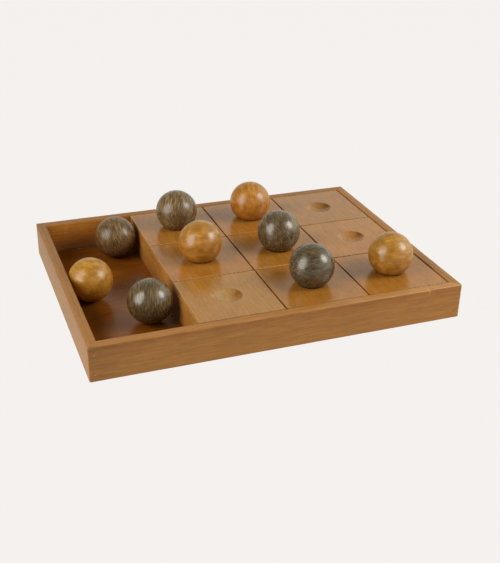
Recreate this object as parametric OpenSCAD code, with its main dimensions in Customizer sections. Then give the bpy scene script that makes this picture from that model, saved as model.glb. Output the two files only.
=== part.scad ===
// Three-in-a-row ball game: a mitred hardwood tray with nine dimpled squares on a raised deck,
// a storage trough along its left side, and nine turned balls, four light and five dark.
// Millimetres. The origin is at the middle of the underside, +X along the front rail, +Y to the back.

/* [Rails] */
// Thickness of each rail of the frame
rail_t = 9.5; // [8.5:0.5:14]
// Height of the rails
rail_h = 36; // [32:1:60]
// Radius of the tray's four upright outer corners
corner_r = 2.5; // [1:0.5:4]
// Radius of the eased long edges of the rails
edge_r = 0.9; // [0.5:0.1:1.5]

/* [Base panel] */
// Thickness of the thin panel that closes the tray from below
panel_t = 3; // [2.5:0.5:5]
// How far the panel's rebate is cut into each rail
rebate_w = 5; // [4:0.5:6]
// Play between the panel's edge and the rebate
panel_play = 0.2; // [0.1:0.05:0.4]

/* [Trough] */
// Width of the storage trough, from the left rail to the deck's wall
trough_w = 94.5; // [75:0.5:140]
// Thickness of the wall between the trough and the hollow deck
wall_t = 8; // [5:0.5:14]

/* [Squares] */
// Side of each playing square
tile = 85; // [72:1:110]
// Thickness of each playing square
tile_t = 8; // [7:0.5:10]
// Groove between neighbouring squares, and between the squares and the right rail
groove = 1.5; // [0.75:0.25:3]
// Gap between the squares and the front and back rails
side_gap = 0.75; // [0.5:0.25:2]
// Width of the bevel that eases each square's edges
tile_bevel = 0.5; // [0.3:0.1:1]
// How far the playing surface lies below the top of the rails
play_drop = 0.3; // [0.1:0.1:3]

/* [Deck] */
// Thickness of the deck board under the squares
deck_t = 6; // [4:0.5:9]
// Width of each bearer that carries the deck board
bearer_w = 18; // [12:1:24]

/* [Balls] */
// Diameter of each ball
ball_d = 45; // [38:0.5:50]
// Gap left around a ball where it rests
ball_gap = 0.3; // [0.2:0.05:0.5]
// Depth of the round dimple in the middle of each square
dimple_depth = 4.7; // [3.5:0.1:5.5]

/* [Balls kept in the trough] */
// Distance from the trough's middle to the light ball's centre, towards the back
light_spare_back = 6; // [-10:1:15]
// Distance from the front rail to the front dark ball's centre
front_spare_y = 73.7; // [50:0.1:80]
// Gap between the front dark ball and the deck's wall
front_spare_gap = 4; // [0.5:0.5:8]
// Distance from the back rail to the back dark ball's centre
back_spare_y = 30.3; // [26:0.1:45]
// Gap between the back dark ball and the deck's wall
back_spare_gap = 1.6; // [0.5:0.1:8]

/* [Pins] */
// Diameter of the brads that pin the mitres
brad_d = 1.4; // [1:0.1:2]
// Length of each brad
brad_l = 22; // [16:1:26]
// Distance from the tray's side to each brad
brad_in = 6.7; // [6:0.1:7]
// Distance from the rail's top or underside to each brad
brad_off = 8; // [7:0.5:12]
// Depth of the filler over each brad
filler_t = 1.5; // [1:0.1:2.5]
// Diameter of the filler over each brad
filler_d = 2.2; // [2.1:0.1:3]
// Diameter of the panel pins under the base
pin_d = 1.2; // [0.9:0.1:1.5]
// Length of the panel pins
pin_l = 12; // [10:0.5:16]
// Diameter of a panel pin's head
pin_head_d = 2.4; // [2:0.1:3]
// Thickness of a panel pin's head
pin_head_t = 0.8; // [0.5:0.1:1]
// Distance from the tray's corner to the first panel pin
pin_first = 42; // [36:1:50]
// Play around a brad, a panel pin, its head and a filler
pin_play = 0.05; // [0.03:0.01:0.08]

/* [Hidden] */

// Colours of the finishes
tray_colour = [0.60, 0.40, 0.22];
square_colour = [0.66, 0.47, 0.31];
inner_colour = [0.72, 0.58, 0.40];
light_colour = [0.76, 0.50, 0.22];
dark_colour = [0.32, 0.28, 0.22];
filler_colour = [0.66, 0.38, 0.22];
steel_colour = [0.70, 0.70, 0.72];

// Smoothness of turned and drilled forms
$fn = 96;
// Overshoot that carries a cut clear of a face
cut = 1;
// Rows and columns of squares
count = 3;

// Inside of the frame, and the whole tray
inner_x = trough_w + count * (tile + groove);
inner_y = count * tile + (count - 1) * groove + 2 * side_gap;
tray_x = inner_x + 2 * rail_t;
tray_y = inner_y + 2 * rail_t;

// Trough and deck, left to right
trough_x0 = -inner_x / 2;
deck_x0 = trough_x0 + trough_w;
deck_x1 = inner_x / 2;

// Levels, from the underside up
play_z = rail_h - play_drop;
tile_z = play_z - tile_t;
deck_z = tile_z - deck_t;

// Centres of the squares, and of the grooves between columns
pitch = tile + groove;
function column_x(c) = deck_x0 + tile / 2 + c * pitch;
function row_y(r) = -inner_y / 2 + side_gap + tile / 2 + r * pitch;
function joint_x(c) = column_x(c) + pitch / 2;

// Balls: the height of a ball's centre on a square and on the trough's floor
ball_r = ball_d / 2;
seat_r = ball_r + ball_gap;
square_ball_z = play_z - dimple_depth + seat_r;
trough_ball_z = panel_t + seat_r;

// Corner brads: their heights
brad_z = [brad_off, rail_h - brad_off];

// Panel pins: how many along each long rail and side rail, all in the rebate's middle
long_pins = 4;
short_pins = 3;
pin_line = rail_t - rebate_w / 2;
long_pin_step = (tray_x - 2 * pin_first) / (long_pins - 1);
short_pin_step = (tray_y - 2 * pin_first) / (short_pins - 1);

// ---- Frame ----

// A square with rounded corners
module eased_rectangle(size_x, size_y, r) {
    translate([r, 0]) square([size_x - 2 * r, size_y]);
    translate([0, r]) square([size_x, size_y - 2 * r]);
    for (x = [r, size_x - r], y = [r, size_y - r]) translate([x, y]) circle(r = r);
}

// The tray's outline seen from above
module tray_outline() {
    translate([-tray_x / 2, -tray_y / 2]) eased_rectangle(tray_x, tray_y, corner_r);
}

// Section of a rail: its outer face is at 0 and the rebate for the panel is inside and below
module rail_section() {
    difference() {
        eased_rectangle(rail_t, rail_h, edge_r);
        translate([rail_t - rebate_w, -cut]) square([rebate_w + cut, panel_t + cut]);
    }
}

// A straight rail of that section, with its outer face towards -Y and its length along X
module rail_bar(length) {
    translate([-length / 2, 0, 0])
        rotate([90, 0, 90])
            linear_extrude(height = length) rail_section();
}

// What the two mitres leave of a rail that runs along X at the front
module mitre_plan(length) {
    inside = length / 2 - rail_t;
    polygon([[-length / 2, 0], [length / 2, 0], [inside, rail_t], [-inside, rail_t]]);
}

// A mitred rail that runs along X, with its outer face at y = 0
module mitred_rail(length) {
    intersection() {
        rail_bar(length);
        linear_extrude(height = rail_h) mitre_plan(length);
    }
}

// Trims a rail to the tray's rounded upright corners
module trimmed_to_tray() {
    intersection() {
        children();
        linear_extrude(height = rail_h) tray_outline();
    }
}

// A brad behind its filler, running in from the front face, or its hole when there is play
module brad(play) {
    rotate([-90, 0, 0]) translate([0, 0, filler_t - play])
        cylinder(d = brad_d + 2 * play, h = brad_l + 2 * play);
}

// The filler over a brad, flush with the face, or its hole when there is play and an overshoot
module filler(play, overshoot) {
    rotate([-90, 0, 0]) translate([0, 0, -overshoot])
        cylinder(d = filler_d + 2 * play, h = filler_t + overshoot);
}

// Puts its children at each of the eight brads, as they run in from the front and the back
module at_each_brad() {
    for (side = [0, 1], x = [-1, 1], z = brad_z)
        rotate([0, 0, 180 * side])
            translate([x * (tray_x / 2 - brad_in), -tray_y / 2, z]) children();
}

module brad_cuts() {
    at_each_brad() {
        brad(pin_play);
        filler(pin_play, cut);
    }
}

module at_each_panel_pin() {
    for (side = [-1, 1], i = [0:long_pins - 1])
        translate([-tray_x / 2 + pin_first + i * long_pin_step, side * (tray_y / 2 - pin_line), 0])
            children();
    for (side = [-1, 1], i = [0:short_pins - 1])
        translate([side * (tray_x / 2 - pin_line), -tray_y / 2 + pin_first + i * short_pin_step, 0])
            children();
}

// A panel pin with its head flush with the panel, or its hole when there is play and an overshoot
module panel_pin(play, overshoot) {
    cylinder(d = pin_d + 2 * play, h = pin_l + play);
    translate([0, 0, -overshoot])
        cylinder(d = pin_head_d + 2 * play, h = pin_head_t + play + overshoot);
}

module panel_pin_cuts() {
    at_each_panel_pin() panel_pin(pin_play, cut);
}

module drilled_rail() {
    difference() {
        trimmed_to_tray() children();
        brad_cuts();
        panel_pin_cuts();
    }
}

module front_rail() {
    color(tray_colour) drilled_rail() translate([0, -tray_y / 2, 0]) mitred_rail(tray_x);
}

module back_rail() {
    color(tray_colour) drilled_rail() rotate([0, 0, 180]) translate([0, -tray_y / 2, 0]) mitred_rail(tray_x);
}

module left_rail() {
    color(tray_colour) drilled_rail() rotate([0, 0, -90]) translate([0, -tray_x / 2, 0]) mitred_rail(tray_y);
}

module right_rail() {
    color(tray_colour) drilled_rail() rotate([0, 0, 90]) translate([0, -tray_x / 2, 0]) mitred_rail(tray_y);
}

// The thin panel lies in the rails' rebates, flush with their underside
module base_panel() {
    reach = rebate_w - panel_play;
    color(tray_colour) difference() {
        translate([-inner_x / 2 - reach, -inner_y / 2 - reach, 0])
            cube([inner_x + 2 * reach, inner_y + 2 * reach, panel_t]);
        panel_pin_cuts();
    }
}

// ---- Deck ----

// The wall stands on the panel, and its face lines up with the edge of the squares
module trough_wall() {
    color(tray_colour) translate([deck_x0, -inner_y / 2, panel_t])
        cube([wall_t, inner_y, tile_z - panel_t]);
}

// The board lies behind the wall and carries the nine squares
module deck_board() {
    color(inner_colour) translate([deck_x0 + wall_t, -inner_y / 2, deck_z])
        cube([deck_x1 - deck_x0 - wall_t, inner_y, deck_t]);
}

// One bearer between the panel and the deck board, from its left side
module bearer(x0) {
    color(inner_colour) translate([x0, -inner_y / 2, panel_t])
        cube([bearer_w, inner_y, deck_z - panel_t]);
}

module bearer_trough_side() bearer(deck_x0 + wall_t);
module bearer_left_joint() bearer(joint_x(0) - bearer_w / 2);
module bearer_right_joint() bearer(joint_x(1) - bearer_w / 2);
module bearer_rail_side() bearer(deck_x1 - bearer_w);

// ---- Squares ----

// A square block whose edges are eased by a narrow bevel all round its top and down its corners
module square_block() {
    bevel_side = tile_bevel * sqrt(2);
    difference() {
        translate([-tile / 2, -tile / 2, 0]) cube([tile, tile, tile_t]);
        for (a = [0, 90, 180, 270]) rotate([0, 0, a]) {
            translate([tile / 2, 0, tile_t]) rotate([0, 45, 0])
                cube([bevel_side, tile + cut, bevel_side], center = true);
            translate([tile / 2, tile / 2, 0]) rotate([0, 0, 45])
                cube([bevel_side, bevel_side, 3 * tile_t], center = true);
        }
    }
}

// A playing square with its dimple, by column and row from the front left
module playing_square(c, r) {
    color(square_colour) translate([column_x(c), row_y(r), tile_z]) difference() {
        square_block();
        translate([0, 0, tile_t - dimple_depth + seat_r]) sphere(r = seat_r);
    }
}

// ---- Balls ----

module ball_on_square(c, r) {
    translate([column_x(c), row_y(r), square_ball_z]) sphere(d = ball_d);
}

module ball_in_trough(x, y) {
    translate([x, y, trough_ball_z]) sphere(d = ball_d);
}

module light_ball_1() color(light_colour) ball_on_square(2, 0);
module light_ball_2() color(light_colour) ball_on_square(0, 1);
module light_ball_3() color(light_colour) ball_on_square(1, 2);

// The fourth light ball leans against the left rail
module light_ball_4() color(light_colour) ball_in_trough(trough_x0 + seat_r, light_spare_back);

module dark_ball_1() color(dark_colour) ball_on_square(1, 0);
module dark_ball_2() color(dark_colour) ball_on_square(1, 1);
module dark_ball_3() color(dark_colour) ball_on_square(0, 2);

// Two dark balls lie near the deck's wall
module dark_ball_4() color(dark_colour)
    ball_in_trough(deck_x0 - ball_r - front_spare_gap, -inner_y / 2 + front_spare_y);

module dark_ball_5() color(dark_colour)
    ball_in_trough(deck_x0 - ball_r - back_spare_gap, inner_y / 2 - back_spare_y);

// ---- Pins ----

module corner_brads() color(steel_colour) at_each_brad() brad(0);
module brad_fillers() color(filler_colour) at_each_brad() filler(0, 0);
module panel_pins() color(steel_colour) at_each_panel_pin() panel_pin(0, 0);

front_rail();
back_rail();
left_rail();
right_rail();
base_panel();
trough_wall();
deck_board();
bearer_trough_side();
bearer_left_joint();
bearer_right_joint();
bearer_rail_side();
playing_square(0, 0);  // square_front_left
playing_square(1, 0);  // square_front_middle
playing_square(2, 0);  // square_front_right
playing_square(0, 1);  // square_middle_left
playing_square(1, 1);  // square_centre
playing_square(2, 1);  // square_middle_right
playing_square(0, 2);  // square_back_left
playing_square(1, 2);  // square_back_middle
playing_square(2, 2);  // square_back_right
light_ball_1();
light_ball_2();
light_ball_3();
light_ball_4();
dark_ball_1();
dark_ball_2();
dark_ball_3();
dark_ball_4();
dark_ball_5();
corner_brads();
brad_fillers();
panel_pins();
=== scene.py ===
"""The looks of a three-in-a-row ball game: a mitred hardwood tray with nine dimpled squares on a
raised deck, a storage trough along its left side, and nine turned balls, four light and five dark.

Lengths are millimetres in the tray's own frame, with +X along the front rail, +Y to the back and
+Z up. They turn into metres as each mesh is made.
"""

import math
import random

import bmesh
import bpy
from mathutils import Matrix, Vector, noise


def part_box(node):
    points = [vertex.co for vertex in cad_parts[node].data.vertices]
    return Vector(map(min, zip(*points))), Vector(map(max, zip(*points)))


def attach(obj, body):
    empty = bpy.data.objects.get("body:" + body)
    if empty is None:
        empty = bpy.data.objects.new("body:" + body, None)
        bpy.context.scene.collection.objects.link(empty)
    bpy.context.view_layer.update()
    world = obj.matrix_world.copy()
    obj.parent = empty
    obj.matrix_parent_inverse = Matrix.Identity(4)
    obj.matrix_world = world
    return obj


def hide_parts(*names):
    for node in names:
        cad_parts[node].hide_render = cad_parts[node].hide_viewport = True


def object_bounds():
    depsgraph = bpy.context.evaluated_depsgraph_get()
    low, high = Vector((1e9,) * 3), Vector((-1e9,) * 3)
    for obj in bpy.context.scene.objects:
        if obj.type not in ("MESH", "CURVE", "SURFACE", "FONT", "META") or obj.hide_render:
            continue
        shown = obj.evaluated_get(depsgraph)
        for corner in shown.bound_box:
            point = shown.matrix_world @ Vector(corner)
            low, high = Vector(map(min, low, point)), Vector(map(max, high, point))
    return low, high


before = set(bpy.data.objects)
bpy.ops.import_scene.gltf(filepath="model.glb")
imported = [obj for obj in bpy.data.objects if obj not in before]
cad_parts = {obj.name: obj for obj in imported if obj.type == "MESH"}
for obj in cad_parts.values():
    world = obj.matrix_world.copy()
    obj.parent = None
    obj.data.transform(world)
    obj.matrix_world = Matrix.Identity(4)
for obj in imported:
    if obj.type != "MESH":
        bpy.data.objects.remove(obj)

CAD_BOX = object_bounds()
MM = 0.001

# The dimple in each square is a part of a ball of this radius, and this deep
SEAT_RADIUS = 22.8
DIMPLE_DEPTH = 4.7
# The rails: their eased long edges, the tray's upright corners and the rebate for the panel
RAIL_EASE = 0.9
CORNER_ROUND = 1.5
REBATE = 5.0
# What the glue line of a mitre leaves open on each side
MITRE_GAP = 0.015
# The nick in the front rail's top edge, and how far it reaches to each side
NICK_DEPTH = 0.9
NICK_REACH = 2.0
# Eased edges of the squares, of the dimples, and of the trough's panel and wall
SQUARE_EASE = 0.35
RIM_EASE = 0.45
PANEL_EASE = 0.25
WALL_EASE = 0.3
# Air round each pin and filler in its hole
PIN_PLAY = 0.04
# How deep the lathe's marks at the ends of a ball are, and how far off round a ball is
LATHE_MARK = 0.06
OFF_ROUND = 0.025
# A point this close to a face counts as on it
ON_FACE = 0.5
# Edges sharper than this, in degrees, stay crisp
CRISP = 32

# Each rail: its turn in degrees, what its tone gains at its two ends, how much lighter its inner face
# is at the top than at the foot (painted light above, painted shade at the foot), and how strong the
# painted highlight on its top is, which on the right rail paints a reflection along its outer edge.
# A growth line runs along the top of three of them, this far in. The front one has been knocked, this
# far from its middle.
RAILS = {
    "front_rail": {"degrees": 0, "ends": (-0.02, 0.14), "inner_face": 0.0, "top_highlight": 0.4,
                   "nick": 150.6},
    "right_rail": {"degrees": 90, "ends": (0.0, 0.0), "inner_face": 0.0, "top_highlight": 0.2,
                   "growth_line": 5.2},
    "back_rail": {"degrees": 180, "ends": (-0.14, -0.14), "inner_face": 0.95, "top_highlight": 0.0,
                  "growth_line": 3.6},
    "left_rail": {"degrees": -90, "ends": (-0.2, -0.01), "inner_face": 0.2, "top_highlight": 0.0,
                  "growth_line": 4.6}}

# How much lighter or darker than the others the board of each square is, the painted highlight (+)
# or painted shade (-) on its front edge, and how far its stain came out orange (+) or olive (-)
SQUARES = {"square_front_left": (0.05, -0.5, -0.3), "square_front_middle": (-0.05, -0.3, 0.0),
           "square_front_right": (0.0, -0.6, 0.0), "square_middle_left": (0.01, 0.5, 0.0),
           "square_centre": (0.0, 0.9, 0.0), "square_middle_right": (0.04, -0.3, 0.0),
           "square_back_left": (-0.02, 0.5, 0.0), "square_back_middle": (0.0, 0.4, 0.0),
           "square_back_right": (-0.07, 0.1, -0.1)}
BEARERS = [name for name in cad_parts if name.startswith("bearer_")]

# Where in their boards the panel and the trough's wall were cut, far from each other
PANEL_IN_BOARD = (3421, 319, 451)
WALL_IN_BOARD = (3732, 348, 492)

# Each ball: which way its fibres lie and which way its layers face, how far its stain came out orange
# (+) or olive (-), its tone, and how matt its lacquer is
LIGHT_BALLS = {
    "light_ball_1": ((-0.98, -0.19, 0.1), (0.0, 0.48, 0.88), -0.3, 0.05, 0.05),
    "light_ball_2": ((0.97, -0.21, 0.08), (0.03, 0.47, 0.88), -0.15, -0.01, 0.0),
    "light_ball_3": ((0.14, 0.8, 0.58), (0.95, -0.28, 0.15), 0.1, 0.03, 0.0),
    "light_ball_4": ((0.58, -0.81, 0.05), (0.39, 0.33, 0.86), -0.35, 0.12, 0.15)}
DARK_BALLS = {
    "dark_ball_1": ((1.0, 0.04, 0.05), (-0.07, 0.5, 0.86), -0.4, -0.29, 0.0),
    "dark_ball_2": ((0.13, 0.95, 0.27), (0.94, -0.21, 0.27), -0.1, -0.17, 0.0),
    "dark_ball_3": ((0.36, 0.56, 0.74), (-0.9, 0.42, 0.12), 0.1, 0.16, 0.2),
    "dark_ball_4": ((0.25, 0.65, 0.72), (0.93, -0.36, 0.0), -0.1, -0.17, 0.0),
    "dark_ball_5": ((-0.14, 0.72, 0.68), (0.92, -0.15, 0.36), 0.25, 0.1, 0.35)}

# Each softbox: compass angle from the front towards the right, height above the table in degrees,
# distance, width and height in metres, power in watts
SOFTBOXES = {"key_right": (62, 37, 1.6, 0.8, 0.85, 19.3), "fill_left": (-78, 24, 1.8, 1.3, 2.1, 50)}
# How bright the room is towards its back, front, right and ceiling: each way, and its strength
ROOM = (((0.36, 0.93, 0.0), 1.05), ((-0.36, -0.93, 0.0), 0.31), ((0.93, -0.36, 0.0), 2.39),
        ((0.0, 0.0, 1.0), 0.28))
# How brightly the pale floor glows towards the tray, and towards the camera
FLOOR_GLOW = 0.92
FLOOR_SEEN = 0.992
# The colour of the room and of the floor as the tray sees them, of the lamps, and of the backdrop and
# the floor as the camera sees them
ROOM_TINT = "#f3f1e3"
LAMP_TINT = "#fffcf3"
BACKDROP = "#f5f1ee"


# ---- Colours and nodes ----

def linear(code):
    """An sRGB hex colour as linear RGBA."""
    channels = [int(code[i:i + 2], 16) / 255 for i in (1, 3, 5)]
    curve = [c / 12.92 if c <= 0.04045 else ((c + 0.055) / 1.055) ** 2.4 for c in channels]
    return (*curve, 1.0)


def add(tree, kind, settings=None, links=None):
    """Adds a node. Settings are its properties or socket values, and links are its inputs' sources."""
    node = tree.nodes.new(kind)
    for key, value in (settings or {}).items():
        if isinstance(key, int) or key in node.inputs:
            node.inputs[key].default_value = value
        else:
            setattr(node, key, value)
    for key, source in (links or {}).items():
        tree.links.new(source, node.inputs[key])
    return node


# The colour sockets of a Mix node, and the settings of one that multiplies two colours in full
MIX_A, MIX_B, MIXED = 6, 7, 2
MULTIPLY = {"data_type": "RGBA", "blend_type": "MULTIPLY", 0: 1.0}


def new_material(name):
    """An empty material with a Principled shader, its node tree and that shader."""
    material = bpy.data.materials.new(name)
    material.use_nodes = True
    tree = material.node_tree
    tree.nodes.clear()
    shader = add(tree, "ShaderNodeBsdfPrincipled")
    add(tree, "ShaderNodeOutputMaterial", links={"Surface": shader.outputs["BSDF"]})
    return material, tree, shader


def weighed(tree, parts, base):
    """The sum of base and each part times its weight, as one socket."""
    total = None
    for socket, weight in parts:
        node = add(tree, "ShaderNodeMath", {"operation": "MULTIPLY_ADD", 1: weight, 2: base}, {0: socket})
        if total is not None:
            tree.links.new(total, node.inputs[2])
        total = node.outputs[0]
    return total


# ---- Wood ----
# Every wooden piece carries its own wood space, the attribute wood_mm: millimetres, with X along the
# fibres. Where it lies in the board that it was cut from gives each piece a figure of its own. The
# attribute tone makes it lighter or darker, in places as painted light and painted shade; warm turns
# it to orange; another attribute says where the finish is worn and where a painted highlight lies,
# both in pale bare wood; and dull says where it has lost its shine.
# Real fibres and pores are 0.1 to 0.3 mm wide, too fine to show from where the tray is seen, so they
# are drawn several times as coarse.

def wood_space(tree, turn=None):
    """The point in wood space: the piece's own attribute, or the tray's frame turned by that much."""
    if turn is None:
        return add(tree, "ShaderNodeAttribute", {"attribute_name": "wood_mm"}).outputs["Vector"]
    coords = add(tree, "ShaderNodeTexCoord").outputs["Object"]
    return add(tree, "ShaderNodeMapping", {"Scale": (1 / MM,) * 3, "Rotation": turn},
               {"Vector": coords}).outputs["Vector"]


def streaks(tree, place, along, across, detail=3.0, rough=0.55, shift=0.0, layers=1.0):
    """Noise that is drawn out along the fibres: its grain is that many millimetres long and wide.

    With layers it is that many times deeper than it is wide, so it lies in sheets. Each shift takes
    it from another part of the noise, so that no two patterns of one wood fall together.
    """
    size = (1 / along, 1 / across, 1 / (across * layers))
    stretched = add(tree, "ShaderNodeVectorMath",
                    {"operation": "MULTIPLY_ADD", 1: size, 2: (shift,) * 3}, {0: place})
    return add(tree, "ShaderNodeTexNoise", {"Scale": 1.0, "Detail": detail, "Roughness": rough},
               {"Vector": stretched.outputs[0]}).outputs["Fac"]


def growth_rings(tree, place, pith, spacing, wander):
    """Rings round a pith that lies off the piece: each one darkens slowly to its late wood.

    They wander by up to that many millimetres, slowly along the fibres and sooner across them.
    """
    along, across = 70, 24
    slow = add(tree, "ShaderNodeVectorMath",
               {"operation": "MULTIPLY", 1: (1 / along, 1 / across, 1 / across)}, {0: place})
    drift = add(tree, "ShaderNodeTexNoise", {"Scale": 1.0, "Detail": 2.0}, {"Vector": slow.outputs[0]})
    wandered = add(tree, "ShaderNodeVectorMath", {"operation": "MULTIPLY_ADD", 1: (0, wander, wander)},
                   {0: drift.outputs["Color"], 2: place})
    from_pith = add(tree, "ShaderNodeVectorMath", {"operation": "ADD", 1: (0, pith[0], pith[1])},
                    {0: wandered.outputs[0]})
    flat = add(tree, "ShaderNodeVectorMath", {"operation": "MULTIPLY", 1: (0, 1, 1)},
               {0: from_pith.outputs[0]})
    radius = add(tree, "ShaderNodeVectorMath", {"operation": "LENGTH"}, {0: flat.outputs[0]})
    count = add(tree, "ShaderNodeMath", {"operation": "MULTIPLY", 1: 2 * math.pi / spacing},
                {0: radius.outputs["Value"]})
    wave = add(tree, "ShaderNodeMath", {"operation": "SINE"}, {0: count.outputs[0]})
    late = add(tree, "ShaderNodeMapRange", {"From Min": -0.6, "From Max": 1.0,
                                            "interpolation_type": "SMOOTHSTEP"}, {"Value": wave.outputs[0]})
    return late.outputs[0]


def wood(name, stain, fibre, rings, cloud, pores, roughness, relief=0.3, hue=(0.03, 1.6), shine=0.5,
         layers=1.0, turn=None):
    """A wood and its finish.

    stain: its dark, middle and light colour as hex. fibre: length and width of its streaks, and how
    much the fine and the broad ones show. rings: pith, spacing, how far they wander, and how much
    they show. cloud: size of its uneven patches, and how much they show. pores: length and width,
    share that is open, and how dark they are. hue: how far it can turn to orange and to olive, and
    how much its patches do so. shine: how much the finish reflects at all, where 0.5 is lacquer.
    layers: how much deeper than wide its fine streaks are. turn: for a piece without a wood space
    of its own, how its fibres lie in the tray's frame.
    """
    material, tree, shader = new_material(name)
    place = wood_space(tree, turn)
    fibre_length, fibre_width, fine_show, broad_show = fibre
    pith, spacing, wander, ring_show = rings
    patch_size, patch_show = cloud
    pore_length, pore_width, pore_share, pore_depth = pores
    reach, hue_show = hue

    # Broad streaks and uneven patches run through the fine streaks and the rings
    fine = streaks(tree, place, fibre_length, fibre_width, 1.0, layers=layers)
    broad = streaks(tree, place, fibre_length * 3.2, fibre_width * 4.5, 2.0, shift=31.0)
    ring = growth_rings(tree, place, pith, spacing, wander)
    patch = streaks(tree, place, patch_size * 1.7, patch_size, 2.0, shift=57.0)
    parts = [(fine, fine_show), (broad, broad_show), (ring, -ring_show), (patch, patch_show)]
    level = weighed(tree, parts, 0.5 - 0.5 * (fine_show + broad_show - ring_show + patch_show))
    ramp = add(tree, "ShaderNodeValToRGB", links={"Fac": level})
    stops = ramp.color_ramp.elements
    stops.new(0.5)
    for stop, code in zip(stops, stain):
        stop.color = linear(code)

    # The stain turns to orange or olive, in patches of its own
    warm = add(tree, "ShaderNodeAttribute", {"attribute_name": "warm"}).outputs["Fac"]
    drift = streaks(tree, place, patch_size * 2.2, patch_size * 1.2, 1.0, shift=83.0)
    olive = (1 - reach, 1 + reach, 1 + 3 * reach, 1)
    orange = (1 + reach, 1 - reach, 1 - 3 * reach, 1)
    tint = add(tree, "ShaderNodeMix", {"data_type": "RGBA", MIX_A: olive, MIX_B: orange},
               {0: weighed(tree, [(drift, hue_show), (warm, 1.0)], 0.5 - 0.5 * hue_show)})

    # Stain collects in the open pores
    pore_field = streaks(tree, place, pore_length, pore_width, 1.0, 0.4, shift=11.0)
    closed = 1 - pore_share
    pore = add(tree, "ShaderNodeMapRange", {"From Min": closed, "From Max": closed + 0.1},
               {"Value": pore_field}).outputs[0]
    tone = add(tree, "ShaderNodeAttribute", {"attribute_name": "tone"}).outputs["Fac"]
    shade = weighed(tree, [(pore, -pore_depth), (tone, 1.0)], 1.0)
    stained = add(tree, "ShaderNodeMix", MULTIPLY,
                  {MIX_A: ramp.outputs["Color"], MIX_B: tint.outputs[MIXED]})
    shaded = add(tree, "ShaderNodeMix", MULTIPLY, {MIX_A: stained.outputs[MIXED], MIX_B: shade})

    # Where it is worn, and where a highlight is painted, pale bare wood shows between the fibres that
    # still hold their stain
    pale_share = add(tree, "ShaderNodeAttribute", {"attribute_name": "wear_and_highlight"}).outputs["Fac"]
    patchy = add(tree, "ShaderNodeMath", {"operation": "MULTIPLY", "use_clamp": True},
                 {0: pale_share, 1: weighed(tree, [(fine, 1.6)], -0.1)})
    worn = add(tree, "ShaderNodeMix", {"data_type": "RGBA", MIX_B: linear("#b08a5c")},
               {0: patchy.outputs[0], MIX_A: shaded.outputs[MIXED]})
    dull = add(tree, "ShaderNodeAttribute", {"attribute_name": "dull"}).outputs["Fac"]
    gloss = weighed(tree, [(broad, 0.12), (patchy.outputs[0], 0.25), (dull, 0.15)], roughness - 0.06)
    # The lacquer sinks a little over open pores and follows the fibres
    height = weighed(tree, [(pore, -0.6), (fine, 0.6), (broad, 1.5)], 0.0)
    bump = add(tree, "ShaderNodeBump", {"Strength": relief, "Distance": 0.04 * MM}, {"Height": height})
    # Only a piece that knows where it is dull varies in shine
    shader.inputs["Specular IOR Level"].default_value = shine
    if turn is None:
        tree.links.new(weighed(tree, [(dull, -shine)], shine), shader.inputs["Specular IOR Level"])
    tree.links.new(worn.outputs[MIXED], shader.inputs["Base Color"])
    tree.links.new(gloss, shader.inputs["Roughness"])
    tree.links.new(bump.outputs["Normal"], shader.inputs["Normal"])
    return material


def rail_wood():
    """Rubberwood, planed, stained brown and sprayed with satin lacquer: plain, with a soft sheen."""
    return wood("stained_rubberwood_satin", ("#6a411c", "#855722", "#a06c32"), fibre=(22, 1.0, 0.8, 0.1),
                rings=((38, 21), 4.2, 6, 0.08), cloud=(15, 0.15), pores=(6, 0.8, 0.40, 0.2),
                roughness=0.42, hue=(0.16, 0.12), shine=0.4)


def square_wood():
    """The same wood under a thicker, glossier coat, as balls are dropped on it all day."""
    return wood("stained_rubberwood_gloss", ("#714513", "#89591e", "#a1692f"), fibre=(11, 0.9, 0.7, 0.15),
                rings=((30, 16), 4.5, 7, 0.08), cloud=(12, 0.6), pores=(5, 0.9, 0.40, 0.18),
                roughness=0.21, relief=0.2, hue=(0.08, 0.6), shine=0.68)


def floor_wood():
    """The thin panel: open-grained veneer that has drunk more stain, so it is darker and redder."""
    return wood("stained_veneer_panel", ("#512706", "#723f0e", "#905317"), fibre=(26, 1.1, 0.4, 0.1),
                rings=((60, 8), 6.0, 9, 0.02), cloud=(22, 0.6), pores=(7, 0.8, 0.42, 0.12),
                roughness=0.27, relief=0.1, hue=(0.08, 0.6), shine=0.3)


def light_ball_wood():
    """Rubberwood turned and sanded round, stained honey and dipped in lacquer: a soft mottled figure."""
    return wood("honey_stained_turned_rubberwood", ("#78430d", "#8d5b18", "#a77433"),
                fibre=(9, 1.1, 0.7, 0.4), rings=((19, 9), 4.4, 7, 0.06), cloud=(5, 1.5),
                pores=(4, 0.8, 0.40, 0.16), roughness=0.3, relief=0.3, hue=(0.08, 0.5), shine=0.46,
                layers=4.0)


def dark_ball_wood():
    """Open-grained wood turned round and stained grey-black: fine pale brown lines between its pores."""
    return wood("ebonised_turned_hardwood", ("#261e10", "#513e26", "#826845"), fibre=(12, 0.75, 1.7, 0.3),
                rings=((15, 10), 3.2, 5, 0.03), cloud=(8, 0.6), pores=(6, 0.7, 0.42, 0.3),
                roughness=0.265, relief=0.4, hue=(0.08, 1.3), shine=0.52, layers=4.0)


def bearer_wood():
    """Planed pine without any finish: it stays inside the deck, pale and matt with wide rings."""
    return wood("bare_planed_pine", ("#b98b53", "#cfa76d", "#e2c48f"), fibre=(60, 1.8, 0.7, 0.5),
                rings=((52, 30), 5.5, 6, 0.45), cloud=(30, 0.3), pores=(8, 0.5, 0.3, 0.1),
                roughness=0.75, relief=0.6, turn=(0, 0, math.radians(-90)))


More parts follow.
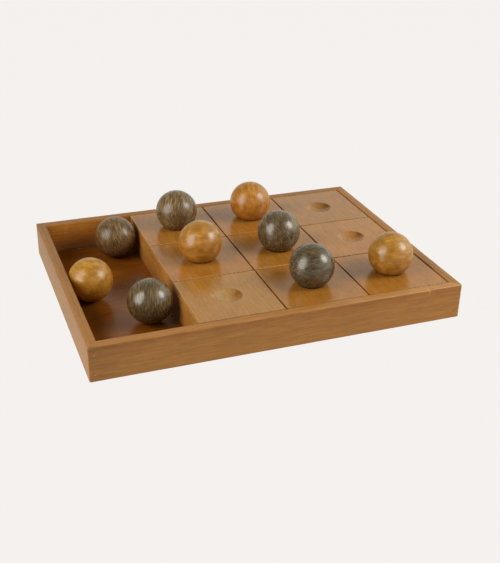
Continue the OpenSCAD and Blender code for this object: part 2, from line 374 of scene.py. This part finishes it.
def deck_wood():
    """Birch plywood without any finish: pale, with five plies that show at its edges."""
    ply = 1.2 * MM
    material = wood("bare_birch_plywood", ("#b08c5c", "#c9a878", "#dcc095"), fibre=(50, 1.6, 0.7, 0.4),
                    rings=((90, 60), 9.0, 12, 0.3), cloud=(30, 0.3), pores=(7, 0.5, 0.3, 0.1),
                    roughness=0.7, relief=0.5, turn=(0, 0, 0))
    tree = material.node_tree
    shader = next(node for node in tree.nodes if node.type == "BSDF_PRINCIPLED")
    face = shader.inputs["Base Color"].links[0].from_socket
    height = add(tree, "ShaderNodeSeparateXYZ", links={
        "Vector": add(tree, "ShaderNodeTexCoord").outputs["Object"]}).outputs["Z"]
    turned = add(tree, "ShaderNodeMath", {"operation": "PINGPONG", 1: ply}, {0: height}).outputs[0]
    share = add(tree, "ShaderNodeMapRange", {"From Min": 0.5 * MM, "From Max": 0.7 * MM, "To Min": 0.78,
                                             "To Max": 1.0}, {"Value": turned}).outputs[0]
    plies = add(tree, "ShaderNodeMix", MULTIPLY, {MIX_A: face, MIX_B: share})
    tree.links.new(plies.outputs[MIXED], shader.inputs["Base Color"])
    return material


def pin_wire():
    """Bright steel wire. The die that it was drawn through has left its sheen finely uneven."""
    material, tree, shader = new_material("drawn_steel_wire")
    place = wood_space(tree, (0, 0, 0))
    speck = 0.25
    specks = streaks(tree, place, speck, speck, 3.0)
    grey = add(tree, "ShaderNodeMix", {"data_type": "RGBA", MIX_A: linear("#9a9893"),
                                       MIX_B: linear("#c4c3bf")}, {0: specks})
    shader.inputs["Metallic"].default_value = 1.0
    tree.links.new(grey.outputs[MIXED], shader.inputs["Base Color"])
    tree.links.new(weighed(tree, [(specks, 0.3)], 0.2), shader.inputs["Roughness"])
    return material


def tinted_filler():
    """Wood filler tinted to the stain and lacquered over: a fine sandy dot, a shade redder.

    Its grains are about 0.1 mm in truth, and coarser here, so that they show.
    """
    material, tree, shader = new_material("tinted_wood_filler")
    place = wood_space(tree, (0, 0, 0))
    grain = 0.35
    grains = streaks(tree, place, grain, grain, 2.0)
    tone = add(tree, "ShaderNodeMix", {"data_type": "RGBA", MIX_A: linear("#78470f"),
                                       MIX_B: linear("#96602a")}, {0: grains})
    bump = add(tree, "ShaderNodeBump", {"Strength": 0.3, "Distance": 0.03 * MM}, {"Height": grains})
    tree.links.new(tone.outputs[MIXED], shader.inputs["Base Color"])
    tree.links.new(weighed(tree, [(grains, 0.2)], 0.4), shader.inputs["Roughness"])
    tree.links.new(bump.outputs["Normal"], shader.inputs["Normal"])
    return material


# ---- Meshes ----

def shell(name, rings):
    """A closed mesh object from rings of points in millimetres, bridged with quads and capped."""
    count = len(rings[0])
    points = [Vector(p) * MM for ring in rings for p in ring]
    faces = []
    for start in range(0, (len(rings) - 1) * count, count):
        for i in range(count):
            j = (i + 1) % count
            faces.append((start + i, start + j, start + count + j, start + count + i))
    faces.append(tuple(reversed(range(count))))
    faces.append(tuple(range((len(rings) - 1) * count, len(rings) * count)))
    mesh = bpy.data.meshes.new(name)
    mesh.from_pydata(points, [], faces)
    form = bmesh.new()
    form.from_mesh(mesh)
    if form.calc_volume(signed=True) < 0:
        bmesh.ops.reverse_faces(form, faces=form.faces)
    form.to_mesh(mesh)
    form.free()
    piece = bpy.data.objects.new(name, mesh)
    bpy.context.scene.collection.objects.link(piece)
    return piece


def arc(centre, radius, start, end, steps=5):
    """Points on an arc in a plane, from one angle to another, in degrees."""
    turns = [math.radians(start + (end - start) * i / steps) for i in range(steps + 1)]
    return [(centre[0] + radius * math.cos(a), centre[1] + radius * math.sin(a)) for a in turns]


def cut_holes(piece, nodes):
    """Bores the holes for CAD pins: each one has the pin's own shape, grown by its play."""
    cutters = []
    for node in nodes:
        form = bmesh.new()
        form.from_mesh(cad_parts[node].data)
        bmesh.ops.remove_doubles(form, verts=form.verts, dist=0.001 * MM)
        bmesh.ops.recalc_face_normals(form, faces=form.faces)
        form.normal_update()
        for point, way in [(v, v.normal.copy()) for v in form.verts]:
            point.co += way * PIN_PLAY * MM
        mesh = bpy.data.meshes.new("cutter")
        form.to_mesh(mesh)
        form.free()
        cutter = bpy.data.objects.new("cutter", mesh)
        bpy.context.scene.collection.objects.link(cutter)
        cutters.append(cutter)
        hole = piece.modifiers.new("hole", "BOOLEAN")
        hole.operation = "DIFFERENCE"
        hole.solver = "EXACT"
        hole.object = cutter
    bored = bpy.data.meshes.new_from_object(piece.evaluated_get(bpy.context.evaluated_depsgraph_get()))
    piece.modifiers.clear()
    piece.data = bored
    for cutter in cutters:
        bpy.data.objects.remove(cutter)


def score(piece, places):
    """Adds lines across the piece at these places along X, so that its colour can change there."""
    form = bmesh.new()
    form.from_mesh(piece.data)
    for x in places:
        everything = form.verts[:] + form.edges[:] + form.faces[:]
        bmesh.ops.bisect_plane(form, geom=everything, plane_co=(x * MM, 0, 0), plane_no=(1, 0, 0))
    form.to_mesh(piece.data)
    form.free()


def give(piece, name, values):
    """Stores one number for each of the piece's points."""
    piece.data.attributes.new(name, "FLOAT", "POINT").data.foreach_set("value", values)


def nowhere(point):
    """For a property that the piece has nowhere."""
    return 0.0


def cut_from_board(piece, turn, offset, tone, wear_and_highlight=nowhere, warm=nowhere, dull=nowhere):
    """Gives the piece its place in its board, and its colour, wear, painted light and shade, and dullness
    at each point.
    """
    points = [v.co / MM for v in piece.data.vertices]
    stored = piece.data.attributes.new("wood_mm", "FLOAT_VECTOR", "POINT")
    stored.data.foreach_set("vector", [c for p in points for c in turn @ p + Vector(offset)])
    give(piece, "tone", [tone(p) for p in points])
    give(piece, "wear_and_highlight", [min(1.0, max(0.0, wear_and_highlight(p))) for p in points])
    give(piece, "warm", [warm(p) for p in points])
    give(piece, "dull", [min(1.0, max(0.0, dull(p))) for p in points])


def finish_piece(piece, node, body, material):
    """Dresses a piece that stands for one CAD node."""
    piece.data.materials.clear()
    piece.data.materials.append(material)
    piece.data.shade_smooth()
    piece.data.set_sharp_from_angle(angle=math.radians(CRISP))
    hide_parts(node)
    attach(piece, body)


def corners_of(node):
    """A CAD node's lowest and highest corners in millimetres."""
    low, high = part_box(node)
    return low / MM, high / MM


def bell(distance, width):
    """1 at no distance, falling off smoothly over about that width."""
    return math.exp(-(distance / width) ** 2)


def sway(*where):
    """Smooth noise from -1 to 1 at up to three coordinates."""
    return noise.noise(Vector((where + (0.5, 0.5))[:3]))


# ---- Rails ----

# Places along a rail are shares, from -1 at its left end to 1 at its right end. Up to this share from
# its middle it is straight, and past it the upright corner turns.
STRAIGHT = 0.9


def rail_section(thickness, height, ease, panel):
    """A rail's section as (depth from the outer face, height), with eased long edges."""
    inner = thickness - ease
    steps = 8
    # The points of the flat stretches keep this far off the round ones
    clear = 0.6
    top_start = CORNER_ROUND + clear
    face = [(0.0, 2 * ease + (height - 5 * ease) * i / steps) for i in range(steps + 1)]
    top = [(top_start + (thickness - 2 * ease - CORNER_ROUND - clear) * i / steps, height)
           for i in range(steps + 1)]
    return ([(thickness - REBATE, 0.0), (2 * ease + clear, 0.0)] + arc((ease, ease), ease, -90, -180)
            + face + arc((ease, height - ease), ease, 180, 90)
            + top + arc((inner, height - ease), ease, 90, 0)
            + [(thickness, height - 2 * ease), (thickness, height / 2), (thickness, panel + ease),
               (thickness, panel), (thickness - REBATE, panel)])


def along_rail(half, depth, share):
    """The place in plan of a section point, at that share of the way along the rail.

    Where the upright corner turns, the outer points follow its arc to the mitre. The mitre's gap opens
    only at the very end.
    """
    side = -1 if share < 0 else 1
    t = abs(share)
    bend = max(0.0, t - STRAIGHT) / (1 - STRAIGHT)
    y = depth
    if depth < CORNER_ROUND:
        x = (half - CORNER_ROUND) * min(1.0, t / STRAIGHT)
        if bend:
            turn, radius = math.radians(45) * bend, CORNER_ROUND - depth
            x += radius * math.sin(turn)
            y = CORNER_ROUND - radius * math.cos(turn)
    else:
        x = (half - depth - CORNER_ROUND) * min(1.0, t / STRAIGHT) + CORNER_ROUND * bend
    return side * (x - MITRE_GAP * t ** 8), y


def rail_shares(half, nick):
    """Where the rings of a rail stand: every few millimetres, closer at its ends and round a nick."""
    spacing, bend_steps, nick_steps = 4, 6, 5
    steps = round(STRAIGHT * half / spacing)
    shares = [STRAIGHT * i / steps for i in range(steps)]
    shares += [STRAIGHT + (1 - STRAIGHT) * i / bend_steps for i in range(bend_steps + 1)]
    shares = [-s for s in reversed(shares[1:])] + shares
    if nick:
        shares += [STRAIGHT * (nick + NICK_REACH * i / nick_steps) / (half - CORNER_ROUND)
                   for i in range(-nick_steps, nick_steps + 1)]
    return sorted(shares)


def make_rail(node, seed, panel, material, degrees, ends, inner_face, top_highlight, growth_line=None,
              nick=None):
    """One mitred rail, made along X with its outer face at the front, then turned into place.

    Its arrises were eased by hand, so their rounding varies along it.
    """
    low, high = corners_of(node)
    along_y = degrees in (90, -90)
    half = CAD_BOX[1][1 if along_y else 0] / MM
    thickness = min(high.x - low.x, high.y - low.y)
    height = high.z
    outer = abs(low.x + high.x if along_y else low.y + high.y) / 2 + thickness / 2
    turn = Matrix.Rotation(math.radians(degrees), 3, "Z")
    near_arris = 2.6 * RAIL_EASE
    rings = []
    for share in rail_shares(half, nick):
        ease = RAIL_EASE * (1 + 0.25 * sway(share * 14, seed))
        ring = []
        for depth, z in rail_section(thickness, height, ease, panel):
            x, y = along_rail(half, depth, share)
            if nick and depth + height - z < near_arris:
                dent = NICK_DEPTH * max(0.0, 1 - abs(x - nick) / NICK_REACH)
                y, z = y + dent, z - dent
            ring.append(turn @ Vector((x, y - outer, z)))
        rings.append(ring)
    piece = shell(f"{node}_board", rings)
    cut_holes(piece, ["corner_brads", "brad_fillers", "panel_pins"])
    back = turn.transposed()

    def place(point):
        """How far a point lies along the rail, in from its outer face, and up."""
        local = back @ point
        return local.x, local.y + outer, local.z

    def band_under_arris(x, z):
        """A darker band under the outer arris, with an uneven lower edge."""
        below = bell(max(0.0, height - 2.2 - z), 4.5 + 1.5 * sway(x / 40, seed + 3.0))
        return below * (1 - bell(height - z, 1.3))

    def tone(point):
        """Uneven stain, a darker band under the outer arris, the growth line along the top, and painted
        light on the inner face: paler all over, lighter towards its top, with painted shade at its foot.

        A fine dark line crosses each outer face near its right end. The knocked rail is darker at its
        left end. Painted shade darkens the inner arris by the gap to the squares, but on the right rail
        painted light lifts that gap instead.
        """
        x, depth, z = place(point)
        shade = 0.05 * sway(x / 60, seed * 7.0) + 0.03 * sway(x / 17, seed * 9.0, z / 12)
        if depth < ON_FACE:
            shade += 0.05 * bell(z, 7.0) - 0.24 * band_under_arris(x, z) - 0.07 * bell(half - 4.6 - x, 0.6)
            shade -= 0.14 * bell(x + half, 25) if nick else 0.0
        elif z > height - ON_FACE and growth_line:
            line = growth_line + 0.5 * sway(x / 45, seed + 5.0)
            shade -= 0.2 * bell(depth - line, 0.6) + (0.05 if depth > line else 0.0)
        # Painted light on the inner face, and painted shade at its foot
        if depth > thickness - ON_FACE:
            shade += 0.3 if z < height - 2 else 0.0
            shade += inner_face * ((z - height / 2) / height - 0.3 * bell(z - panel, 8))
        shade += ends[0] + (ends[1] - ends[0]) * (x / half + 1) / 2
        # Painted light in the right rail's gap to the squares; on the others, painted shade on the inner
        # arris
        if node == "right_rail":
            return shade + 0.2 * bell(math.hypot(thickness - depth, height - 2 - z), 2.0)
        return shade - 0.3 * bell(math.hypot(thickness - depth, height - z), 0.7)

    def warm(point):
        """The dark band under the outer arris is more orange, and so is the foot of an inner face, under
        its painted shade.
        """
        x, depth, z = place(point)
        if depth < ON_FACE:
            return 0.2 * band_under_arris(x, z)
        return (0.38 + 0.2 * inner_face) * (1 - z / height) if depth > thickness - ON_FACE else 0.0

    def wear_and_highlight(point):
        """Painted highlight along the outer arris, with patchy wear; a paler inner face with a pale line
        at its foot; the painted highlight on the top, towards the nick, or else outwards, where it paints
        a reflection; and the bare wood of the nick.
        """
        x, depth, z = place(point)
        edge = math.hypot(depth, height - z)
        # Painted highlight along the outer arris, broken up like wear
        pale_share = 0.2 * bell(edge, 0.9) * (0.6 + 0.8 * sway(x / 9, seed + 1.0))
        if depth > thickness - ON_FACE:
            pale_share += 0.9 * bell(z - panel, 0.9) + 0.5 * top_highlight
        elif z > height - ON_FACE:
            pale_share += top_highlight * max(0.0, x / half if nick else 1 - depth / 6)
        if nick:
            pale_share += 1.6 * bell(x - nick, 1.3) * bell(edge, 1.6)
        return pale_share

    def dull(point):
        """Spray hardly reached the inner faces."""
        return 0.7 if place(point)[1] > thickness - ON_FACE else 0.0

    cut_from_board(piece, back, (seed * 911, seed * 37, seed * 53), tone, wear_and_highlight, warm, dull)
    finish_piece(piece, node, "tray", material)


def make_rails(material):
    """Four rails, each from another part of the plank."""
    panel = corners_of("base_panel")[1].z
    for seed, (node, features) in enumerate(RAILS.items()):
        make_rail(node, seed, panel, material, **features)


# ---- Squares ----

def square_outline(half, corner, count):
    """Points round a square with slightly rounded corners, seen from above."""
    points = []
    for i in range(count):
        angle = 2 * math.pi * i / count
        c, s = math.cos(angle), math.sin(angle)
        reach = half / max(abs(c), abs(s))
        x, y = reach * c, reach * s
        over_x, over_y = abs(x) - (half - corner), abs(y) - (half - corner)
        if over_x > 0 and over_y > 0:
            length = math.hypot(over_x, over_y)
            x = math.copysign(half - corner + over_x * corner / length, x)
            y = math.copysign(half - corner + over_y * corner / length, y)
        points.append((x, y))
    return points


def playing_square(node):
    """A block with a round dimple: rings from the dimple's middle over the top and down the sides."""
    low, high = corners_of(node)
    half, top = (high.x - low.x) / 2, high.z
    middle = Vector(((low.x + high.x) / 2, (low.y + high.y) / 2, 0))
    count = 128
    round_turn = [2 * math.pi * i / count for i in range(count)]
    rim = math.sqrt(SEAT_RADIUS ** 2 - (SEAT_RADIUS - DIMPLE_DEPTH) ** 2)
    rings = []

    def ring(points, z):
        rings.append([middle + Vector((x, y, z)) for x, y in points])

    def circle(radius):
        return [(radius * math.cos(a), radius * math.sin(a)) for a in round_turn]

    slope = math.asin((rim - RIM_EASE) / SEAT_RADIUS)
    bowl_steps = 14
    for i in range(1, bowl_steps + 1):
        a = slope * i / bowl_steps
        edge = top - DIMPLE_DEPTH + SEAT_RADIUS * (1 - math.cos(a))
        ring(circle(SEAT_RADIUS * math.sin(a)), edge)
    for t in (0.25, 0.5, 0.75, 1.0):
        ring(circle(rim - RIM_EASE + 2 * RIM_EASE * t), edge + (top - edge) * (1 - (1 - t) ** 2))
    outline = square_outline(half - SQUARE_EASE, SQUARE_EASE, count)
    for t in (0.05, 0.15, 0.3, 0.5, 0.7, 0.85, 0.95, 0.98):
        ring([(cx + (x - cx) * t, cy + (y - cy) * t)
              for (cx, cy), (x, y) in zip(circle(rim + RIM_EASE), outline)], top)
    for out, up in arc((0, 0), SQUARE_EASE, 90, 0):
        ring(square_outline(half - SQUARE_EASE + out, SQUARE_EASE + out, count), top - SQUARE_EASE + up)
    for inset, z in ((0, top - 3 * SQUARE_EASE), (0, low.z + SQUARE_EASE), (0.2, low.z)):
        ring(square_outline(half - inset, 2 * SQUARE_EASE, count), z)
    return shell(f"{node}_block", rings), middle, rim, half


def make_square(node, seed, board, offset, material, board_tone, front_edge_light, orange):
    """One square. Balls dropped in its dimple and rolled out of it have scuffed it.

    Painted shade lies on the dimple's far side, which faces away from the key light. The square
    nearest to the player and the trough is scuffed most.
    """
    piece, middle, rim, half = playing_square(node)
    side_top = corners_of(node)[1].z - 1.5 * SQUARE_EASE
    beside_trough, beside_rail = node.endswith("_left"), node.endswith("_right")
    scuffs = 1.0 if node == "square_front_left" else 0.35

    def in_square(point):
        """A point from the square's middle, and how far out it lies."""
        x, y = point.x - middle.x, point.y - middle.y
        return x, y, math.hypot(x, y)

    def far_side(x, y, out):
        """The dimple's far side, turned from the key light, where painted shade lies."""
        return bell(math.hypot(x - 11, y - 4), 5.5) * bell(max(0.0, out - rim), 1.2)

    def worn(x, y, out):
        """The rest of the dimple, where balls rub."""
        return bell(max(0.0, out - rim + 1.5), 1.2) * (1 - bell(math.hypot(x - 11, y - 1), 8))

    def wear_and_highlight(point):
        """Short marks and a fleck left of the dimple, a pale arc outside its right rim, its worn bowl, and
        painted highlights on the arris beside the trough and on the lit front edges.
        """
        x, y, out = in_square(point)
        marks = max(0.0, 0.25 + 0.9 * sway(x / 2.6, y / 3.2, seed)) * bell(x + 8, 7) * bell(out, rim)
        fleck = bell(math.hypot(x + 14.5, (y - 4.5) / 3), 1.3)
        fleck += 0.4 * bell(out - rim - 1.5, 1.2) * max(0.0, x / out)
        # Painted highlights on the arris beside the trough and on the lit front edges
        arris = 0.3 * bell(x + half, 0.8) if beside_trough else 0.0
        front = 0.6 * max(0.0, front_edge_light) * bell(y + half, 0.7)
        return scuffs * (0.55 * worn(x, y, out) + 0.4 * marks + 0.6 * fleck) + arris + front

    def tone(point):
        """Painted light on the sides lifts the shade of the grooves and the trough. Painted shade darkens
        the top along the grooves and at its back edge, and the dimple's far side and right lip. The front
        edge gets a painted highlight or painted shade, by square. Wear darkens the dimple's bowl.
        """
        x, y, out = in_square(point)
        groove = bell(half - max(0 if beside_trough else -x, 0 if beside_rail else x), 0.9)
        front = bell(y + half, 0.7)
        # Painted light on the sides, against the shade of the grooves and the trough
        if max(abs(x), abs(y)) > half - 1 and point.z < side_top:
            return board_tone + 0.45 + 0.5 * front_edge_light * front
        # Painted shade along the grooves and at the back edge; painted light or shade on the front edge
        back = 0.2 * bell(half - y, 0.5)
        lip = 0.25 * bell(out - rim + 0.6, 0.9) * max(0.0, x / out)
        # Painted shade on the dimple's far side and right lip, and darker worn wood in the bowl
        dimple = 0.35 * far_side(x, y, out) + 0.3 * scuffs * worn(x, y, out) + lip
        return board_tone - 0.11 * groove - back + 0.3 * front_edge_light * front - dimple

    def warm(point):
        """The painted shade on the dimple's far side is more orange, and worn wood less."""
        where = in_square(point)
        return orange + 0.3 * far_side(*where) - 0.5 * scuffs * worn(*where)

    def dull(point):
        """Balls have worn the shine out of the dimple's rim, and its far side, under the painted shade, is
        matt too.
        """
        x, y, out = in_square(point)
        return 0.3 * bell(max(0.0, out - rim + 1), 0.7) + 0.6 * far_side(x, y, out)

    cut_from_board(piece, board, offset, tone, wear_and_highlight, warm, dull)
    finish_piece(piece, node, "tray", material)


def make_squares(material):
    """Nine blocks sawn from boards whose fibres run from front to back, hardly askew."""
    chance = random.Random(7)
    fibres_to_back = Matrix.Rotation(math.radians(-90), 3, "Z")
    for seed, (node, (board_tone, front_edge_light, orange)) in enumerate(SQUARES.items()):
        skew = Matrix.Rotation(math.radians(chance.uniform(-1.5, 1.5)), 3, "Z")
        offset = (chance.uniform(0, 900), chance.uniform(0, 400), chance.uniform(0, 400))
        make_square(node, seed, skew @ fibres_to_back, offset, material, board_tone, front_edge_light, orange)


# ---- Trough ----

def slab(name, low, high, ease):
    """A board with eased edges, from its lowest to its highest corner."""
    half_x, half_y = (high.x - low.x) / 2, (high.y - low.y) / 2
    middle = Vector(((low.x + high.x) / 2, (low.y + high.y) / 2, 0))
    rings = []

    def ring(inset, z):
        plan = []
        for k, (side_x, side_y) in enumerate(((1, 1), (-1, 1), (-1, -1), (1, -1))):
            plan += arc((side_x * (half_x - ease), side_y * (half_y - ease)), ease - inset,
                        90 * k, 90 * k + 90)
        rings.append([middle + Vector((x, y, z)) for x, y in plan])

    for out, up in arc((0, 0), ease, -85, 0):
        ring(ease - out, low.z + ease + up)
    for out, up in arc((0, 0), ease, 0, 85):
        ring(ease - out, high.z - ease + up)
    return shell(name, rings)


def make_panel(material):
    """The base panel, whose fibres run along X. Painted shade along the left rail makes it darker
    there, and it is duller there too.
    """
    low, high = corners_of("base_panel")
    piece = slab("base_panel_board", low, high, PANEL_EASE)
    cut_holes(piece, ["panel_pins"])
    left = low.x + REBATE
    shade_width, shade_fade = 14, 10
    # Lines across the panel, closest where the painted shade ends, so that it fades smoothly
    score(piece, [left + step for step in (5, shade_width, 18, 22, 27, 34, 42)])

    # Painted shade along the left rail, where the rail and the ball beside it shade the panel
    def shade_by_rail(point):
        return bell(max(0.0, point.x - left - shade_width), shade_fade)

    cut_from_board(piece, Matrix.Identity(3), PANEL_IN_BOARD, lambda p: -0.35 * shade_by_rail(p), dull=shade_by_rail)
    finish_piece(piece, "base_panel", "tray", material)


def make_wall(material):
    """The wall under the squares, whose fibres run along Y. It is paler than the rails."""
    low, high = corners_of("trough_wall")
    piece = slab("trough_wall_board", low, high, WALL_EASE)
    fibres_to_front = Matrix.Rotation(math.radians(-90), 3, "Z")
    cut_from_board(piece, fibres_to_front, WALL_IN_BOARD, lambda p: 0.25)
    finish_piece(piece, "trough_wall", "tray", material)


# ---- Balls ----

def turned_ball(node, middle, radius, turn, seed):
    """A ball turned on a lathe: rings round its axis, a hair off round, with a mark at each end."""
    points_round, bands = 96, 72
    rings = []
    for k in range(1, bands):
        angle = math.pi * k / bands
        from_end = min(angle, math.pi - angle) * radius
        mark = LATHE_MARK * bell(from_end, 1.6)
        ring = []
        for i in range(points_round):
            a = 2 * math.pi * i / points_round
            way = Vector((math.sin(angle) * math.cos(a), math.sin(angle) * math.sin(a), math.cos(angle)))
            uneven = OFF_ROUND * (1 + noise.noise(way * 2.2 + Vector((seed, 0, 0))))
            ring.append(middle + turn @ way * (radius - mark - uneven))
        rings.append(ring)
    return shell(f"{node}_turned", rings)


def make_ball(node, seed, offset, slot, material, axis, facing, orange, shade, matt):
    """One ball with its fibres along its axis, cut from that place in the plank."""
    low, high = corners_of(node)
    middle, radius = (low + high) / 2, (high.z - low.z) / 2
    turn = Vector((0, 0, 1)).rotation_difference(Vector(axis)).to_matrix()
    piece = turned_ball(node, middle, radius, turn, seed)
    along, layer = Vector(axis).normalized(), Vector(facing).normalized()
    board = Matrix((along, layer, along.cross(layer)))

    def warm(point):
        """Its stain's own orange or olive, and on its lower half painted warm light, bounced up from the
        orange squares.
        """
        return orange + 0.35 * (0.2 - (point.z - middle.z) / radius)

    cut_from_board(piece, board, offset - board @ middle, lambda p: shade, warm=warm,
                   dull=lambda p: matt)
    finish_piece(piece, node, node, material)


def make_balls(balls, slot, material, seed):
    """Each ball was cut from somewhere else in the plank, so each has a figure of its own."""
    chance = random.Random(seed)
    for index, (node, look) in enumerate(balls.items()):
        offset = Vector((chance.uniform(0, 900), chance.uniform(-8, 8), chance.uniform(-8, 8)))
        make_ball(node, seed + index, offset, slot, material, *look)


# ---- Pieces that the tray hides, and its pins ----

def dress(nodes, material):
    """Gives CAD nodes that stay as they are their material."""
    for node in nodes:
        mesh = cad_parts[node].data
        mesh.materials.clear()
        mesh.materials.append(material)


# ---- Camera, light and floor ----

def outwards(azimuth, elevation):
    """The way to a compass angle, from the front towards the right, and a height angle."""
    return Vector((math.sin(azimuth) * math.cos(elevation), -math.cos(azimuth) * math.cos(elevation),
                   math.sin(elevation)))


def set_camera():
    """A long lens from the front left, a little above the tray, held a little askew."""
    azimuth, elevation, roll = math.radians(-21.06), math.radians(27.26), math.radians(1.2588)
    target, distance = Vector((14.80, -1.47, 0.0)) * MM, 986.4 * MM
    back = outwards(azimuth, elevation)
    right = (-back).cross(Vector((0, 0, 1))).normalized()
    up = right.cross(-back)
    side = right * math.cos(roll) + up * math.sin(roll)
    over = -right * math.sin(roll) + up * math.cos(roll)
    data = bpy.data.cameras.new("camera")
    data.lens = 58.99
    data.sensor_width = 36
    data.clip_start = 0.05
    data.clip_end = 60
    camera = bpy.data.objects.new("camera", data)
    camera.matrix_world = Matrix.Translation(target + back * distance) @ Matrix(
        (side, over, back)).transposed().to_4x4()
    bpy.context.scene.collection.objects.link(camera)
    bpy.context.scene.camera = camera


def hang_softboxes():
    """Soft lamps that face the tray, placed by compass angle and height."""
    for name, (azimuth, elevation, distance, width, height, watts) in SOFTBOXES.items():
        data = bpy.data.lights.new(name, "AREA")
        data.shape = "ELLIPSE"
        data.size = width
        data.size_y = height
        data.energy = watts
        data.color = linear(LAMP_TINT)[:3]
        lamp = bpy.data.objects.new(name, data)
        way = outwards(math.radians(azimuth), math.radians(elevation))
        lamp.location = way * distance
        lamp.rotation_euler = way.to_track_quat("Z", "Y").to_euler()
        bpy.context.scene.collection.objects.link(lamp)


def light_room():
    """A pale room, brighter to some sides. The camera sees an even backdrop behind the tray."""
    world = bpy.data.worlds.new("studio")
    bpy.context.scene.world = world
    world.use_nodes = True
    tree = world.node_tree
    tree.nodes.clear()
    way = add(tree, "ShaderNodeTexCoord").outputs["Generated"]
    sides = []
    for side, strength in ROOM:
        facing = add(tree, "ShaderNodeVectorMath", {"operation": "DOT_PRODUCT", 1: side}, {0: way})
        ahead = add(tree, "ShaderNodeMath", {"operation": "MAXIMUM", 1: 0.0}, {0: facing.outputs["Value"]})
        share = add(tree, "ShaderNodeMath", {"operation": "POWER", 1: 2.0}, {0: ahead.outputs[0]})
        sides.append((share.outputs[0], strength))
    seen = add(tree, "ShaderNodeLightPath").outputs["Is Camera Ray"]
    strength = add(tree, "ShaderNodeMix", {"data_type": "FLOAT", 3: 1.0},
                   {0: seen, 2: weighed(tree, sides, 0.0)})
    colour = add(tree, "ShaderNodeMix", {"data_type": "RGBA", MIX_A: linear(ROOM_TINT),
                                         MIX_B: linear(BACKDROP)}, {0: seen})
    backdrop = add(tree, "ShaderNodeBackground",
                   links={"Color": colour.outputs[MIXED], "Strength": strength.outputs[0]})
    add(tree, "ShaderNodeOutputWorld", links={"Surface": backdrop.outputs[0]})


def lay_floor():
    """A plain pale floor, lit through from below so that it stays even, with hardly any shadow."""
    # Metres to each side of the tray
    reach = 12.0
    mesh = bpy.data.meshes.new("floor")
    mesh.from_pydata([(-reach, -reach, 0), (reach, -reach, 0), (reach, reach, 0), (-reach, reach, 0)],
                     [], [(0, 1, 2, 3)])
    floor = bpy.data.objects.new("floor", mesh)
    bpy.context.scene.collection.objects.link(floor)
    # Just under the tray, so that the two faces don't meet
    floor.location.z = -0.02 * MM
    material, tree, shader = new_material("pale_lit_floor")
    shader.inputs["Base Color"].default_value = linear("#101010")
    shader.inputs["Roughness"].default_value = 1.0
    shader.inputs["Specular IOR Level"].default_value = 0.0
    seen = add(tree, "ShaderNodeLightPath").outputs["Is Camera Ray"]
    colour = add(tree, "ShaderNodeMix", {"data_type": "RGBA", MIX_A: linear(ROOM_TINT),
                                         MIX_B: linear(BACKDROP)}, {0: seen})
    tree.links.new(colour.outputs[MIXED], shader.inputs["Emission Color"])
    glow = add(tree, "ShaderNodeMix", {"data_type": "FLOAT", 2: FLOOR_GLOW, 3: FLOOR_SEEN}, {0: seen})
    tree.links.new(glow.outputs[0], shader.inputs["Emission Strength"])
    mesh.materials.append(material)


# ---- The game ----

set_camera()
hang_softboxes()
light_room()
lay_floor()
bpy.context.scene.view_settings.view_transform = "Standard"

rail_material = rail_wood()
make_rails(rail_material)
make_squares(square_wood())
make_panel(floor_wood())
make_wall(rail_material)
make_balls(LIGHT_BALLS, "light_ball_hardwood", light_ball_wood(), 21)
make_balls(DARK_BALLS, "dark_ball_stained_hardwood", dark_ball_wood(), 31)
dress(BEARERS, bearer_wood())
dress(["deck_board"], deck_wood())
dress(["corner_brads", "panel_pins"], pin_wire())
dress(["brad_fillers"], tinted_filler())
